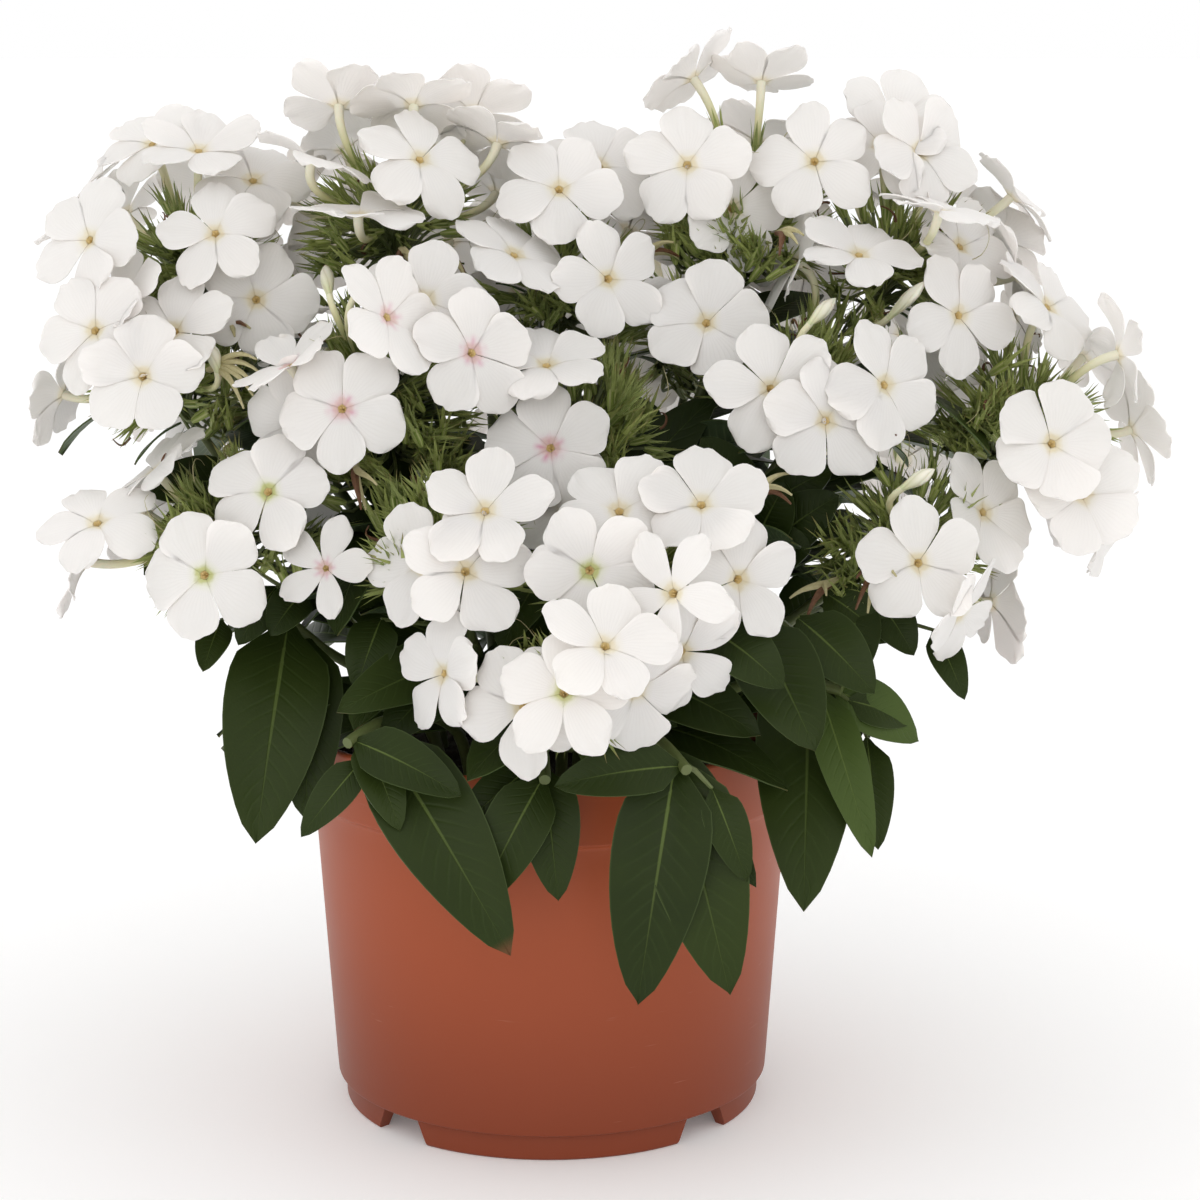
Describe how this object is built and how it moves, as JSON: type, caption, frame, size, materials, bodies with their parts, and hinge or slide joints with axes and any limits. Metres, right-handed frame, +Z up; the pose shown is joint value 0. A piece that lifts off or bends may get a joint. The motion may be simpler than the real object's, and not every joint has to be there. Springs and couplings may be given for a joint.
{
  "type": "potted garden phlox",
  "caption": "Bushy garden phlox with rounded heads of white five-petalled florets on leafy stems, growing in a round plastic nursery pot with a rim band and feet.",
  "frame": {"origin": "on the ground under the middle of the plant's bounding box", "axes": "+Z up, +X to the right of the front view along the widest spread of the flower heads, -Y towards the viewer in front"},
  "size_m": [0.3336, 0.291, 0.3247],
  "materials": {
    "pot": "terracotta coloured injection moulded plastic with a soft satin sheen",
    "soil": "dark crumbly peat compost",
    "leaf": "dark green leaves and stems with paler midribs",
    "petal": "soft matt white petals with cream tubes and green calyces"
  },
  "bodies": {
    "root": {"pot": "pot", "soil": "soil", "stem_low_front": "leaf", "stem_front": "leaf", "stem_front_left": "leaf", "stem_low_left": "leaf", "stem_low_right": "leaf", "stem_middle": "leaf", "stem_middle_left": "leaf", "stem_middle_right": "leaf", "stem_left": "leaf", "stem_right": "leaf", "stem_top": "leaf", "stem_top_left": "leaf", "stem_far_left": "leaf", "stem_top_right": "leaf", "stem_far_right": "leaf", "stem_back_left": "leaf", "stem_back": "leaf", "stem_back_middle": "leaf", "stem_back_right": "leaf", "stem_low_back": "leaf", "shoot_left": "leaf", "shoot_front": "leaf", "shoot_right": "leaf", "shoot_side": "leaf", "head_low_front": "petal", "head_front": "petal", "head_front_left": "petal", "head_low_left": "petal", "head_low_right": "petal", "head_middle": "petal", "head_middle_left": "petal", "head_middle_right": "petal", "head_left": "petal", "head_right": "petal", "head_top": "petal", "head_top_left": "petal", "head_far_left": "petal", "head_top_right": "petal", "head_far_right": "petal", "head_back_left": "petal", "head_back": "petal", "head_back_middle": "petal", "head_back_right": "petal", "head_low_back": "petal"}
  },
  "joints": []
}
